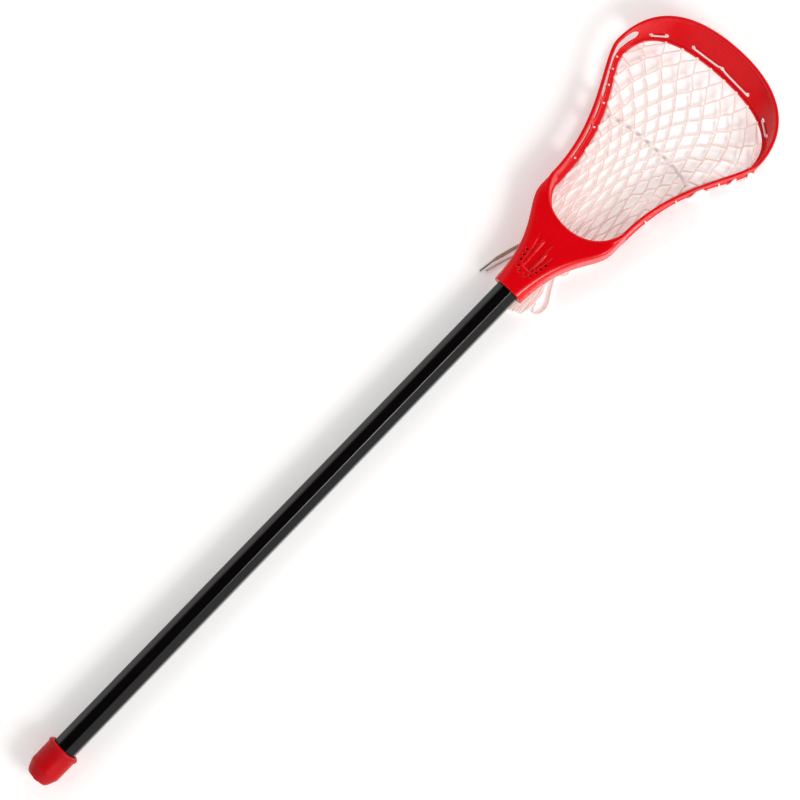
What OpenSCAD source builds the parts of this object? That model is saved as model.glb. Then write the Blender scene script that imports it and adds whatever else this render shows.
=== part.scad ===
// A lacrosse stick that lies with its open face up.
// X runs across the head, Y along the shaft towards the scoop, and Z up.
// The origin is on the ground, under the middle of the stick's length.

/* [Overall] */
// Length from the end of the cap to the tip of the scoop
total_len = 940; // [800:10:1150]
// Height of the throat's back above the ground, over the folded mesh
throat_clear = 5.5; // [5.2:0.1:10]

/* [Shaft] */
// Width of the octagonal tube across its flats
shaft_af = 23; // [18:0.5:29]
// Wall of the tube
shaft_wall = 1.5; // [1:0.1:3]
// Length of the tube that sits inside the throat
insert_len = 61; // [45:1:66]

/* [End cap] */
// Length of the cap
cap_len = 39; // [30:1:60]
// Wall of the cap, measured from the tube's corners
cap_wall = 3.3; // [2:0.1:5]
// How far the rolled lip stands out of the cap's side
cap_lip = 1; // [0.5:0.1:2]
// Thickness of the cap under the tube's end
cap_floor = 6; // [4:0.5:10]
// Height of the round nub in the middle of the cap's end
nub_h = 2; // [1:0.1:3]
// Radius of the nub
nub_r = 3.5; // [2:0.1:5]
// Gap between the cap and the tube
cap_gap = 0.1; // [0.05:0.01:0.3]

/* [Head] */
// Length of the head from the throat's end to the scoop's tip
head_len = 311; // [290:1:380]
// Width of the head where it is widest
head_w = 181.2; // [150:0.1:218]
// Width of the head at the straight channel above the throat
channel_w = 92.6; // [80:0.1:112]
// Wall of the throat beside the tube
throat_wall = 4.9; // [3.5:0.1:7]
// Wall of the throat above and below the tube
throat_face = 3; // [2.8:0.1:5]
// Distance from the throat's end to the bottom of the opening
throat_len = 79.5; // [76:0.5:96]
// Distance from the throat's end to the start of the channel
channel_y = 110; // [102:1:132]
// Distance from the widest place to the scoop's tip
scoop_len = 66; // [54:1:80]
// Height of the top rail above the ground
rail_top = 34; // [28:0.5:42]
// Height of the scoop's lip above the ground
lip_top = 45; // [37:0.5:54]
// Height of the scoop's back edge above the ground
scoop_back_z = 13; // [6:0.5:16]
// How far the scoop's back edge lies behind its lip
scoop_rake = 18.5; // [10:0.5:24]
// How far the bottom rail lies inside the top rail at the channel
channel_inset = 1.2; // [0.5:0.1:4]
// How far the bottom rail lies inside the top rail where the head is widest
wide_inset = 3.5; // [1:0.1:6]
// Width of the top rail
top_rail_t = 3.6; // [3.2:0.1:6]
// Width of the bottom rail
bottom_rail_t = 5.2; // [4:0.1:6.5]
// Height of each rail
rail_h = 5.5; // [4:0.1:7]
// Thickness of the sidewall between the rails
web_t = 1.6; // [1.2:0.1:2.2]

/* [Stringing] */
// Diameter of the round strings
string_d = 1.9; // [1.2:0.1:2.6]
// Diameter of the string holes
hole_d = 3.8; // [3.2:0.1:4.4]
// Thickness of the mesh
mesh_t = 2.4; // [1.5:0.1:3]
// How far the middle of the pocket hangs below its edges
mesh_sag = 3; // [1:0.1:3.2]
// Width of the shooting lace
lace_w = 3.5; // [3:0.5:10]
// Thickness of the shooting lace
lace_t = 1; // [0.6:0.1:1.6]

/* [Head screw] */
// Radius of the screw's shank
screw_r = 1.75; // [1.2:0.05:2.2]
// Radius of the screw's head
screw_head_r = 3.4; // [2.8:0.1:4.5]
// Height of the screw's head
screw_head_h = 2.2; // [1.5:0.1:2.6]
// Distance of the screw from the throat's end
screw_y = 24; // [15:1:40]

/* [Hidden] */

red = "#E00A12";
cap_red = "#C20812";
black = "#17171A";
steel = "silver";
cream = "#EFE3DC";
white = "#F4F1EE";
tan = "#B79E86";
grey = "#8E8A86";

// Places along the stick
y_butt = -total_len / 2;
y_tip = total_len / 2;
y_base = y_tip - head_len;

// Half of the throat's depth, and the height of the tube's axis above the ground
throat_hh = shaft_af / 2 + throat_face;
axis_z = throat_clear + throat_hh;

// The tube and its fits
octagon = cos(22.5);
fit = 0.15;
shaft_corner = shaft_af / 2 / octagon;
shaft_y0 = y_butt + cap_floor + cap_gap;
shaft_y1 = y_base + insert_len;

// Half widths of the head's outlines
throat_hw = shaft_af / 2 + 0.2 + throat_wall;
channel_hw = channel_w / 2;
head_hw = head_w / 2;
web_in = 0.9;
corner = 1.2;
y_channel = y_base + channel_y;
y_wide = y_tip - scoop_len;
y_opening = y_base + throat_len;
side_len = y_wide - y_channel;

// A rail's curve has three cubic pieces on the right: round the throat, along the sidewall
// and round the scoop. Each piece has two ends and two handles.
throat_edge_t = 5.5;
top_y0 = y_opening - throat_edge_t;
top_curve = [
    [[0, top_y0, rail_top], [0.68 * channel_hw, top_y0, rail_top],
        [channel_hw, y_channel - 14, rail_top], [channel_hw, y_channel, rail_top]],
    [[channel_hw, y_channel, rail_top], [channel_hw, y_channel + 0.5 * side_len, rail_top],
        [head_hw, y_wide - 0.16 * side_len, rail_top - 1], [head_hw, y_wide, rail_top - 1]],
    [[head_hw, y_wide, rail_top - 1], [head_hw, y_wide + 0.5 * scoop_len, rail_top - 1],
        [0.78 * head_hw, y_tip, lip_top], [0, y_tip, lip_top]]
];
low_throat_z = 7;
low_edge_t = 4;
low_y0 = y_opening - low_edge_t;
back_y = y_tip - scoop_rake;
back_len = back_y - y_wide;
low_channel = channel_hw - channel_inset;
low_wide = head_hw - wide_inset;
low_curve = [
    [[0, low_y0, low_throat_z], [0.64 * low_channel, low_y0, low_throat_z],
        [low_channel, y_channel - 10, low_throat_z - 1], [low_channel, y_channel, 0]],
    [[low_channel, y_channel, 0], [low_channel, y_channel + 0.63 * side_len, 0],
        [low_wide, y_wide - 0.18 * side_len, 0], [low_wide, y_wide, 0]],
    [[low_wide, y_wide, 0], [low_wide, y_wide + 0.5 * back_len, 0],
        [0.85 * low_wide, back_y, scoop_back_z], [0, back_y, scoop_back_z]]
];
// Steps in each of the three pieces
steps = [9, 15, 15];

function bezier(p, t) =
    pow(1 - t, 3) * p[0] + 3 * pow(1 - t, 2) * t * p[1] + 3 * (1 - t) * t * t * p[2]
    + pow(t, 3) * p[3];
function slope(p, t) =
    3 * pow(1 - t, 2) * (p[1] - p[0]) + 6 * (1 - t) * t * (p[2] - p[1])
    + 3 * t * t * (p[3] - p[2]);
function unit(v) = v / norm(v);
function mix(a, b, f) = a + (b - a) * f;
// The level direction out of the head, square to a curve
function outward(p, t) = let(d = slope(p, t)) unit([d[1], -d[0], 0]);
function mirrored(p) = [-p[0], p[1], p[2]];

// Every place round the head: [piece, position], from the throat's middle to the scoop's tip
places = [for (k = [0:2]) for (i = [0:steps[k] - 1]) [k, i / steps[k]], [2, 1]];

// A point at a place: in is measured inwards from a rail's outer face and up along Z
function at_top(k, t, in, up) =
    bezier(top_curve[k], t) - in * outward(top_curve[k], t) + [0, 0, up];
function at_low(k, t, in, up) =
    bezier(low_curve[k], t) - in * outward(low_curve[k], t) + [0, 0, up];

// The rails' widths at a place: round the throat the top rail widens and the bottom one narrows
function eased(k, t) = k == 0 ? pow(t, 4) : 1;
function top_t(k, t) = mix(throat_edge_t, top_rail_t, eased(k, t));
function low_t(k, t) = mix(low_edge_t, bottom_rail_t, eased(k, t));

// The sidewall's section at a place: bottom rail, web and top rail, outside first
function section(k, t) =
    let(top_in = top_t(k, t), low_in = low_t(k, t), web_out = web_in + web_t)
    [at_low(k, t, corner, 0), at_low(k, t, 0, corner), at_low(k, t, 0, rail_h - corner),
    at_low(k, t, web_in, rail_h), at_top(k, t, web_in, -rail_h),
    at_top(k, t, 0, corner - rail_h), at_top(k, t, 0, -corner), at_top(k, t, corner, 0),
    at_top(k, t, top_in - corner, 0), at_top(k, t, top_in, -corner),
    at_top(k, t, top_in, corner - rail_h), at_top(k, t, web_out, -rail_h),
    at_low(k, t, web_out, rail_h), at_low(k, t, low_in, rail_h - corner),
    at_low(k, t, low_in, corner), at_low(k, t, low_in - corner, 0)];

// Both halves of something that is worked out for the right half, as one closed round
function all_round(right) =
    let(n = len(right))
    concat(right, [for (i = [n - 2:-1:1]) [for (p = right[i]) mirrored(p)]]);

// A solid between rings of points, closed on itself as a hoop
module hoop(rings) {
    n = len(rings);
    m = len(rings[0]);
    polyhedron([for (r = rings) for (p = r) p],
        [for (i = [0:n - 1]) for (j = [0:m - 1])
            let(a = i * m + j, b = i * m + (j + 1) % m, c = ((i + 1) % n) * m + (j + 1) % m,
                d = ((i + 1) % n) * m + j)
            for (f = [[a, b, c], [a, c, d]]) f]);
}

// A solid between rings of points. Each end is closed by strips from one side to the other.
module loft(rings) {
    n = len(rings);
    m = len(rings[0]);
    z = (n - 1) * m;
    strips = [for (j = [0:floor(m / 2) - 2]) [j, j + 1, m - 2 - j, m - 1 - j]];
    polyhedron([for (r = rings) for (p = r) p],
        concat([for (f = strips) f],
            [for (i = [0:n - 2]) for (j = [0:m - 1])
                let(a = i * m + j, b = i * m + (j + 1) % m, c = (i + 1) * m + (j + 1) % m,
                    d = (i + 1) * m + j)
                for (f = [[a, c, b], [a, d, c]]) f],
            [for (f = strips) [for (k = [3:-1:0]) z + f[k]]]));
}

// A smooth line through points, with n steps between each two
function through(pts, n) =
    let(last = len(pts) - 1)
    concat([for (i = [0:last - 1]) for (s = [0:n - 1])
        let(t = s / n, a = pts[max(i - 1, 0)], b = pts[i], c = pts[i + 1],
            d = pts[min(i + 2, last)])
        0.5 * (2 * b + (c - a) * t + (2 * a - 5 * b + 4 * c - d) * t * t
            + (3 * b - a - 3 * c + d) * t * t * t)], [pts[last]]);

// Side directions carried along a line without twist
function carried(dirs, side, i = 0, acc = []) =
    i == len(dirs) ? acc
    : let(s = unit(side - (side * dirs[i]) * dirs[i])) carried(dirs, s, i + 1, concat(acc, [s]));

// A cord with a round or flat section: w and h are its width and height
module cord(line, w, h, sides = 8, side = [0, 0, 1]) {
    last = len(line) - 1;
    dirs = [for (i = [0:last]) unit(line[min(i + 1, last)] - line[max(i - 1, 0)])];
    ups = carried(dirs, side);
    loft([for (i = [0:last]) [for (j = [0:sides - 1])
        let(a = 360 * (j + 0.5) / sides)
        line[i] + w / 2 * sin(a) * cross(dirs[i], ups[i]) + h / 2 * cos(a) * ups[i]]]);
}

// ---- Head frame ----

// The throat's outer side on the right, from its end to the channel's corner
throat_corner = y_base + 94;
throat_side = [[throat_hw, y_base, 0], [throat_hw, y_base + 60, 0],
    [channel_hw, throat_corner - 22, 0], [channel_hw, throat_corner, 0]];
throat_steps = 12;
throat_points = 28;

// The throat is a soft-cornered box in section, at a half width, a place along the stick and a
// share of the way to the channel. It grows squarer towards the channel.
function throat_ring(hw, y, t) =
    let(bottom = mix(axis_z - throat_hh, low_throat_z + 0.5, t),
        top = mix(axis_z + throat_hh, rail_top - 0.1, t), power = 2 / mix(3, 14, t),
        inset = 0.05 + 0.25 * t)
    [for (j = [0:throat_points - 1])
        let(a = -360 * (j + 0.5) / throat_points, c = cos(a), s = sin(a))
        [(hw - inset) * sign(c) * pow(abs(c), power), y,
            (top + bottom) / 2 + (top - bottom) / 2 * sign(s) * pow(abs(s), power)]];

module throat() {
    difference() {
        loft(concat(
            [for (i = [0:throat_steps])
                let(p = bezier(throat_side, i / throat_steps))
                throat_ring(p[0], p[1], i / throat_steps)],
            [throat_ring(channel_hw, y_channel + 2, 1)]));
        opening_plug();
    }
}

// The space inside the head, out to the middle of the rails
module opening_plug() {
    right = [for (p = places)
        let(low = at_low(p[0], p[1], low_t(p[0], p[1]) - 1, 0),
            top = at_top(p[0], p[1], top_t(p[0], p[1]) - 1, 0))
        [[low[0], low[1], -30], low, top, [top[0], top[1], lip_top + 30]]];
    rings = all_round(right);
    loft([for (j = [0:3]) [for (r = rings) r[j]]]);
}

module sidewalls() {
    hoop(all_round([for (p = places) section(p[0], p[1])]));
}

// A slot through both sidewalls, from one distance past the channel to another
module window(from, to, z, h) {
    for (s = [-1, 1])
        translate([s * head_hw * 0.66, 0, 0])
            rotate([90, 0, 90])
                translate([0, 0, -head_hw * 0.38])
                    linear_extrude(head_hw * 0.76)
                        union() {
                            translate([y_channel + from * side_len + h / 2, z - h / 2])
                                square([(to - from) * side_len - h, h]);
                            for (y = [from * side_len + h / 2, to * side_len - h / 2])
                                translate([y_channel + y, z])
                                    circle(h / 2, $fn = 24);
                        }
}

// The sidewalls' slots: [from, to] in shares of the sidewall's length, and a height
windows = [[0.165, 0.45, 7], [0.49, 0.62, 7], [0.645, 1.16, 14]];
window_z = 18;

// Places of the string holes along the sidewall and round the scoop
side_holes = [0.12, 0.3, 0.46, 0.6, 0.75, 0.9];
scoop_holes = [0.446, 0.605, 0.817, 1];
// Height of the scoop's holes, as a share of the wall between the rails
scoop_hole_f = 0.12;
tunnel_x = [12, 27];

// A point on the middle of the scoop's wall, moved out along the wall's own normal
function wall_low(t) = at_low(2, t, web_in + web_t / 2, rail_h);
function wall_top(t) = at_top(2, t, web_in + web_t / 2, -rail_h);
function wall_normal(t) = let(d = slope(low_curve[2], t))
    unit(cross([d[0], d[1], 0], wall_top(t) - wall_low(t)));
function on_wall(t, f, out) = mix(wall_low(t), wall_top(t), f) + out * wall_normal(t);

// A round cut along a direction, centred on a point
module bore_along(p, d, r, l) {
    translate(p)
        rotate([0, acos(d[2] / norm(d)), atan2(d[1], d[0])])
            cylinder(r = r, h = l, center = true, $fn = 24);
}

module string_holes() {
    for (s = [0, 1]) mirror([s, 0, 0]) {
        for (t = side_holes)
            bore_along(at_low(1, t, web_in + web_t / 2, rail_h + 3), outward(low_curve[1], t),
                hole_d / 2, 12);
        for (t = scoop_holes)
            if (t < 1 || s == 0)
                bore_along(on_wall(t, scoop_hole_f, 0), wall_normal(t), hole_d / 2, 9);
        for (x = tunnel_x)
            translate([x, y_opening + 0.0045 * x * x, 12])
                rotate([-45, 0, 0])
                    cylinder(r = hole_d / 2, h = 40, center = true, $fn = 24);
    }
}

// The shallow recess on the throat's face: three lanes between two ribs
recess_y0 = y_base + 24;
recess_y1 = y_base + 56;
recess_depth = 1.1;
rib_x = 4.6;
rib_t = 1.4;

module face_recess() {
    inner = rib_x + rib_t / 2;
    top = axis_z + throat_hh;
    translate([0, 0, top - 0.4 - recess_depth]) linear_extrude(recess_depth + 3) {
        translate([-rib_x + rib_t / 2, recess_y0])
            square([2 * rib_x - rib_t, recess_y1 - recess_y0]);
        for (s = [-1, 1])
            polygon([[s * inner, recess_y0 + 4], [s * (inner + 1), recess_y0 + 3],
                [s * 14, recess_y1 - 4], [s * 13, recess_y1], [s * inner, recess_y1]]);
    }
}

// Two rows of small dimples that close in towards the throat's end, each as [x, distance]
dimples = [[11.9, 39.5], [10.7, 34], [9.8, 28.7], [7.7, 23], [3.3, 20]];
dimple_r = 1.15;
dimple_depth = 0.9;

module face_dimples() {
    for (s = [-1, 1]) for (d = dimples)
        translate([s * d[0], y_base + d[1], axis_z + throat_hh - 1.1 - dimple_depth])
            cylinder(r = dimple_r, h = 4, $fn = 24);
}

// An octagonal bar along Y with its flats up, down and to the sides
module octagonal_bar(af, y0, y1) {
    translate([0, y1, axis_z])
        rotate([90, 0, 0])
            rotate([0, 0, 22.5])
                cylinder(r = af / 2 / octagon, h = y1 - y0, $fn = 8);
}

// Where the screw's head sits, just outside the tube
seat_wall = 0.6;
seat_z = axis_z - shaft_af / 2 - seat_wall;

module head_frame() {
    color(red) difference() {
        union() {
            sidewalls();
            throat();
        }
        octagonal_bar(shaft_af + 2 * fit, y_base - 1, shaft_y1 + 0.5);
        for (w = windows) window(w[0], w[1], window_z, w[2]);
        string_holes();
        face_recess();
        face_dimples();
        translate([0, y_base + screw_y, 0]) {
            cylinder(r = screw_r + fit, h = axis_z, $fn = 32);
            translate([0, 0, seat_z - 10]) cylinder(r = screw_head_r + 0.3, h = 10, $fn = 32);
        }
    }
}

// ---- Shaft, cap and screw ----

module shaft_tube() {
    color(black) difference() {
        octagonal_bar(shaft_af, shaft_y0, shaft_y1);
        octagonal_bar(shaft_af - 2 * shaft_wall, shaft_y0 - 1, shaft_y1 + 1);
        translate([0, y_base + screw_y, 0]) cylinder(r = screw_r, h = axis_z, $fn = 32);
    }
}

cap_r = shaft_corner + cap_gap + cap_wall;
cap_end_r = 0.64 * cap_r;
lip_h = 4.5;

module end_cap() {
    color(cap_red) difference() {
        translate([0, y_butt, axis_z]) rotate([-90, 0, 0]) rotate_extrude($fn = 96)
            polygon([[0, 0], [nub_r, 0], [nub_r, nub_h + 1.2], [nub_r + 2, nub_h + 1.2],
                [nub_r + 2, nub_h], [cap_end_r, nub_h], [cap_end_r + 2, nub_h + 2.5],
                [cap_r - 1.2, nub_h + 7.5], [cap_r, nub_h + 10.5], [cap_r, cap_len - lip_h],
                [cap_r + cap_lip, cap_len - lip_h + 1.2], [cap_r + cap_lip, cap_len - 1],
                [cap_r + cap_lip - 1, cap_len], [0, cap_len]]);
        octagonal_bar(shaft_af + 2 * cap_gap, y_butt + cap_floor, y_butt + cap_len + 1);
    }
}

screw_len = 11;

module head_screw() {
    color(steel) translate([0, y_base + screw_y, seat_z]) difference() {
        union() {
            translate([0, 0, -screw_head_h]) cylinder(r = screw_head_r, h = screw_head_h, $fn = 32);
            cylinder(r = screw_r, h = screw_len - 2, $fn = 32);
            translate([0, 0, screw_len - 2]) cylinder(r1 = screw_r, r2 = 0.5, h = 2, $fn = 32);
        }
        for (a = [0, 90]) rotate([0, 0, a])
            translate([-2, -0.4, -screw_head_h - 1]) cube([4, 0.8, 2.2]);
    }
}

// ---- Mesh ----

mesh_gap = 1.2;
mesh_edge_z = 4.5;
mesh_low_z = 3;
mesh_columns = 12;
// The mesh under the throat, as [distance from the throat's end, half width]
tongue = [[36, 14], [61, 20], [79, 26], [92, 32], [101, 36]];
tongue_end = y_base + tongue[4][0];

// How much of the pocket's shape a row has: none under the throat and all past the channel
function pocket_share(y) = let(f = min(1, max(0, (y - tongue_end) / 30))) f * f * (3 - 2 * f);

// Rows of the mesh: [y, half width, height of the edge, sag]
mesh_rows = concat(
    [for (r = tongue) [y_base + r[0], r[1], mesh_low_z, 0]],
    [for (p = places)
        let(q = at_low(p[0], p[1], low_t(p[0], p[1]) + mesh_gap, 0), f = pocket_share(q[1]))
        if (p[0] > 0 && q[1] > tongue_end + 6 && q[0] > 8)
            [q[1], min(q[0], tongue[4][1] + 0.35 * (q[1] - tongue_end)),
                mix(mesh_low_z, q[2] + mesh_edge_z, f), mesh_sag * f * (q[2] > 0 ? 0.8 : 1)]]);

// The mesh's middle height at a place
function mesh_z(x, y) =
    let(half = lookup(y, [for (r = mesh_rows) [r[0], r[1]]]),
        edge = lookup(y, [for (r = mesh_rows) [r[0], r[2]]]),
        sag = lookup(y, [for (r = mesh_rows) [r[0], r[3]]]))
    edge - sag * max(0, 1 - pow(x / half, 2));

function mesh_line(row, up) = [for (j = [0:mesh_columns])
    let(u = 2 * j / mesh_columns - 1)
    [u * row[1], row[0], row[2] - row[3] * (1 - u * u) + up]];

// The spare mesh, folded flat behind the throat
fold_outline = [[-14, -11], [-15, 4], [-14, 22], [-12, 44], [0, 48], [14, 44], [16, 34],
    [20, 20], [22, 9], [21.5, -1], [20, -6], [12, -9], [7, -12], [-6, -14]];
fold_z = 0.3;
fold_h = 4.6;

module pocket_mesh() {
    color(cream) union() {
        loft([for (r = mesh_rows) concat(mesh_line(r, mesh_t / 2),
            [for (j = [mesh_columns:-1:0]) mesh_line(r, -mesh_t / 2)[j]])]);
        translate([0, y_base, fold_z]) linear_extrude(fold_h) polygon(fold_outline);
    }
}

// ---- Strings that the head holds ----

string_r = string_d / 2;
face_in = web_t / 2 + string_r + 0.35;

// From one hole to the next along a face of the wall, with a slight slack in the middle. It
// leaves and enters the holes square to the wall.
mouth = web_t / 2 + 0.6;
function hop(t0, t1, side) = [
    on_wall(t0, scoop_hole_f, side * mouth),
    on_wall(mix(t0, t1, 0.2), scoop_hole_f, side * face_in),
    on_wall(mix(t0, t1, 0.5), scoop_hole_f - 0.02, side * face_in),
    on_wall(mix(t0, t1, 0.8), scoop_hole_f, side * face_in),
    on_wall(t1, scoop_hole_f, side * mouth)];

// Inside the scoop from the middle to the first hole, behind it to the next, and inside again
top_right = concat(
    [on_wall(1, scoop_hole_f + 0.05, -face_in)],
    [for (i = [1:4]) hop(scoop_holes[3], scoop_holes[2], -1)[i]],
    hop(scoop_holes[2], scoop_holes[1], 1),
    hop(scoop_holes[1], scoop_holes[0], -1),
    [on_wall(scoop_holes[0], scoop_hole_f, mouth),
        on_wall(scoop_holes[0], scoop_hole_f, mouth + 2)]);

module top_string() {
    right = top_right;
    n = len(right);
    whole = concat([for (i = [n - 1:-1:1]) mirrored(right[i])], right);
    color(white) {
        cord(through(whole, 3), string_d, string_d);
        for (s = [-1, 1])
            translate([s * right[n - 1][0], right[n - 1][1], right[n - 1][2]])
                sphere(r = string_d, $fn = 24);
    }
}

// A string that lies along the mesh's edge, just inside the bottom rail
function side_string(t) =
    at_low(1, t, bottom_rail_t + string_r + 0.35, mesh_edge_z + mesh_t / 2 + string_r + 0.25);

module sidewall_string() {
    color(white) cord([for (t = [0.3:0.0333:1.0]) side_string(t)], string_d, string_d);
}

module bottom_string() {
    z = mesh_low_z + mesh_t / 2 + string_r + 0.1;
    color(white) cord([for (x = [-28:4:28]) [x, y_base + 71 + x * x / 130, z]],
        string_d, string_d);
}

module shooting_lace() {
    row_y = y_channel + 0.78 * side_len;
    half = 59;
    color(white) cord([for (x = [-half:half / 10:half])
        let(y = row_y - 9 * pow(x / half, 2))
        [x, y, mesh_z(x, y) + mesh_t / 2 + lace_t / 2 + 0.4]],
        lace_w, lace_t);
}

// ---- Free ends behind the throat. Points are from the throat's end, on the ground ----

flat_tail_points = [[-20, 50, 1], [-24, 45, 1], [-27, 38, 1], [-30, 28, 1], [-33, 17, 1],
    [-34, 12, 1]];
tip_points = [[-34, 12, 1], [-35, 5, 1], [-36, -2, 1]];
round_tail_points = [[-20, 42, 1.4], [-23, 30, 1.3], [-27, 19, 1.3], [-30, 9, 1.3], [-32, 2, 1.3]];
loop_points = [[20, 42, 1.4], [28, 28, 1.4], [33, 20, 1.4], [35, 12, 1.4], [33, 6, 1.4], [29, 4, 1.4],
    [26, 7, 1.4], [25, 12, 1.4]];

module at_throat() {
    translate([0, y_base, 0]) children();
}

module flat_lace_tail() {
    color(tan) at_throat() cord(through(flat_tail_points, 3), 3.6, 1.2);
}

module lace_tip() {
    color(grey) at_throat() cord(tip_points, 1.8, 1.8);
}

module round_lace_tail() {
    color(cream) at_throat() cord(through(round_tail_points, 3), 2.6, 2.6);
}

module cord_loop() {
    color(white) at_throat() cord(through(loop_points, 4), 2.8, 2.8);
}

head_frame();
shaft_tube();
end_cap();
head_screw();
pocket_mesh();
top_string();
mirror([1, 0, 0]) sidewall_string();  // sidewall_string_left
sidewall_string();  // sidewall_string_right
bottom_string();
shooting_lace();
flat_lace_tail();
lace_tip();
round_lace_tail();
cord_loop();
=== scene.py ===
"""A youth lacrosse stick that lies on a pale floor with its open face up."""
import math

import bmesh
import bpy
import numpy as np
from mathutils import Matrix, Vector


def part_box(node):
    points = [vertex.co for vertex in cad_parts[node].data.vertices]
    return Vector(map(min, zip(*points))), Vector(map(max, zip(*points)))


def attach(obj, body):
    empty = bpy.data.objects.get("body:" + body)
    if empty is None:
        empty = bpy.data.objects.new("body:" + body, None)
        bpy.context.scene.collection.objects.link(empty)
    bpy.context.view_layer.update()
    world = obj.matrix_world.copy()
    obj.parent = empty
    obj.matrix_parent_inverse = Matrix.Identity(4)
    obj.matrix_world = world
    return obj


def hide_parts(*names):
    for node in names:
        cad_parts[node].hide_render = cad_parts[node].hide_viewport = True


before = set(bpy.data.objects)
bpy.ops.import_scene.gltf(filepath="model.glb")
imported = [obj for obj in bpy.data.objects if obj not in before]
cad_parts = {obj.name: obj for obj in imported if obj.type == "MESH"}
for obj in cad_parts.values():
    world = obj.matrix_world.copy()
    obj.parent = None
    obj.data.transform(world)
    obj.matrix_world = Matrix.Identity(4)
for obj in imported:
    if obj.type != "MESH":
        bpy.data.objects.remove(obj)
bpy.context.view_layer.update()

MM = 0.001


# ---- The frame's own places, in millimetres ----

def corners(node):
    """The lowest and highest corner of a CAD node."""
    low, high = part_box(node)
    return np.array(low) / MM, np.array(high) / MM


head_low, head_high = corners("head_frame")
shaft_low, shaft_high = corners("shaft_tube")
cap_low, cap_high = corners("end_cap")
Y_BASE, Y_TIP = head_low[1], head_high[1]
AXIS_Z = (shaft_low[2] + shaft_high[2]) / 2
SHAFT_AF = shaft_high[0] - shaft_low[0]


# ---- Shared geometry, all in millimetres until a mesh is made ----

def bezier(p, t):
    """Points on a cubic curve, for an array of positions from 0 to 1."""
    p, t = np.asarray(p, float), np.atleast_1d(t)[:, None]
    s = 1 - t
    return s ** 3 * p[0] + 3 * s ** 2 * t * p[1] + 3 * s * t * t * p[2] + t ** 3 * p[3]


def slope(p, t):
    """The same curve's direction, not of unit length."""
    p, t = np.asarray(p, float), np.atleast_1d(t)[:, None]
    s = 1 - t
    return 3 * s ** 2 * (p[1] - p[0]) + 6 * s * t * (p[2] - p[1]) + 3 * t * t * (p[3] - p[2])


def mix(a, b, f):
    """From a to b as f goes from 0 to 1."""
    return a + (b - a) * f


def eased(f):
    """A smooth step from 0 to 1."""
    f = np.clip(f, 0, 1)
    return f * f * (3 - 2 * f)


def unit(v):
    return v / np.linalg.norm(v, axis=-1, keepdims=True)


def travelled(line):
    """How far along a line each of its points is."""
    return np.concatenate([[0], np.cumsum(np.linalg.norm(np.diff(line, axis=0), axis=1))])


def through(points, step):
    """A smooth line through points, with its own points a step apart."""
    p = np.asarray(points, float)
    before, after = np.vstack([p[:1], p[:-1]]), np.vstack([p[1:], p[-1:]])
    last = np.vstack([after[1:], after[-1:]])
    fine = []
    for i in range(len(p) - 1):
        t = np.linspace(0, 1, 12, endpoint=False)[:, None]
        a, b, c, d = before[i], p[i], after[i], last[i]
        fine.append(0.5 * (2 * b + (c - a) * t + (2 * a - 5 * b + 4 * c - d) * t ** 2
                           + (3 * b - a - 3 * c + d) * t ** 3))
    fine = np.vstack(fine + [p[-1:]])
    along = travelled(fine)
    even = np.linspace(0, along[-1], max(3, int(round(along[-1] / step)) + 1))
    return np.stack([np.interp(even, along, fine[:, k]) for k in range(3)], 1)


def line_length(line):
    return float(np.linalg.norm(np.diff(line, axis=0), axis=1).sum())


def frames(line, up=(0, 0, 1)):
    """Sideways and upward directions along a line, carried without twist."""
    tangents = unit(np.gradient(line, axis=0))
    ups = np.zeros_like(line)
    now = np.array(up, float)
    for i, t in enumerate(tangents):
        now = now - now.dot(t) * t
        now = now / np.linalg.norm(now)
        ups[i] = now
    return np.cross(tangents, ups), ups


def tube(line, half_w, half_h, sides, up=(0, 0, 1), square=1.0):
    """A closed tube along a line. half_w and half_h may change along it, and square below 1
    makes its section boxier."""
    side, over = frames(line, up)
    half_w = np.broadcast_to(half_w, len(line))[:, None, None]
    half_h = np.broadcast_to(half_h, len(line))[:, None, None]
    a = 2 * math.pi * (np.arange(sides) + 0.5) / sides
    across, rise = np.sin(a), np.cos(a)
    across = (np.sign(across) * np.abs(across) ** square)[None, :, None]
    rise = (np.sign(rise) * np.abs(rise) ** square)[None, :, None]
    rings = line[:, None] + half_w * across * side[:, None] + half_h * rise * over[:, None]
    return skin(rings)


def skin(rings, closed_ends=True):
    """Verts and faces over rings of points, each as long as the next."""
    n, m = rings.shape[:2]
    i, j = np.meshgrid(np.arange(n - 1), np.arange(m), indexing="ij")
    k = (j + 1) % m
    quads = np.stack([i * m + j, i * m + k, (i + 1) * m + k, (i + 1) * m + j], -1).reshape(-1, 4)
    faces = [tuple(q) for q in quads.tolist()]
    if closed_ends:
        faces.append(tuple(range(m - 1, -1, -1)))
        faces.append(tuple(range((n - 1) * m, n * m)))
    return rings.reshape(-1, 3), faces


def merged(parts):
    """Several (verts, faces) as one."""
    verts, faces, start = [], [], 0
    for v, f in parts:
        verts.append(v)
        faces.extend(tuple(k + start for k in face) for face in f)
        start += len(v)
    return np.vstack(verts), faces


def new_piece(name, verts, faces, smooth=True):
    """A mesh object from points in millimetres, with its faces turned outward."""
    mesh = bpy.data.meshes.new(name)
    mesh.from_pydata((np.asarray(verts) * MM).tolist(), [], faces)
    made = bmesh.new()
    made.from_mesh(mesh)
    bmesh.ops.recalc_face_normals(made, faces=made.faces)
    made.to_mesh(mesh)
    made.free()
    mesh.polygons.foreach_set("use_smooth", [smooth] * len(mesh.polygons))
    piece = bpy.data.objects.new(name, mesh)
    bpy.context.scene.collection.objects.link(piece)
    return piece


def applied(piece):
    """The piece with its modifiers made final."""
    seen = piece.evaluated_get(bpy.context.evaluated_depsgraph_get())
    mesh = bpy.data.meshes.new_from_object(seen)
    piece.modifiers.clear()
    piece.data = mesh
    return piece


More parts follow.
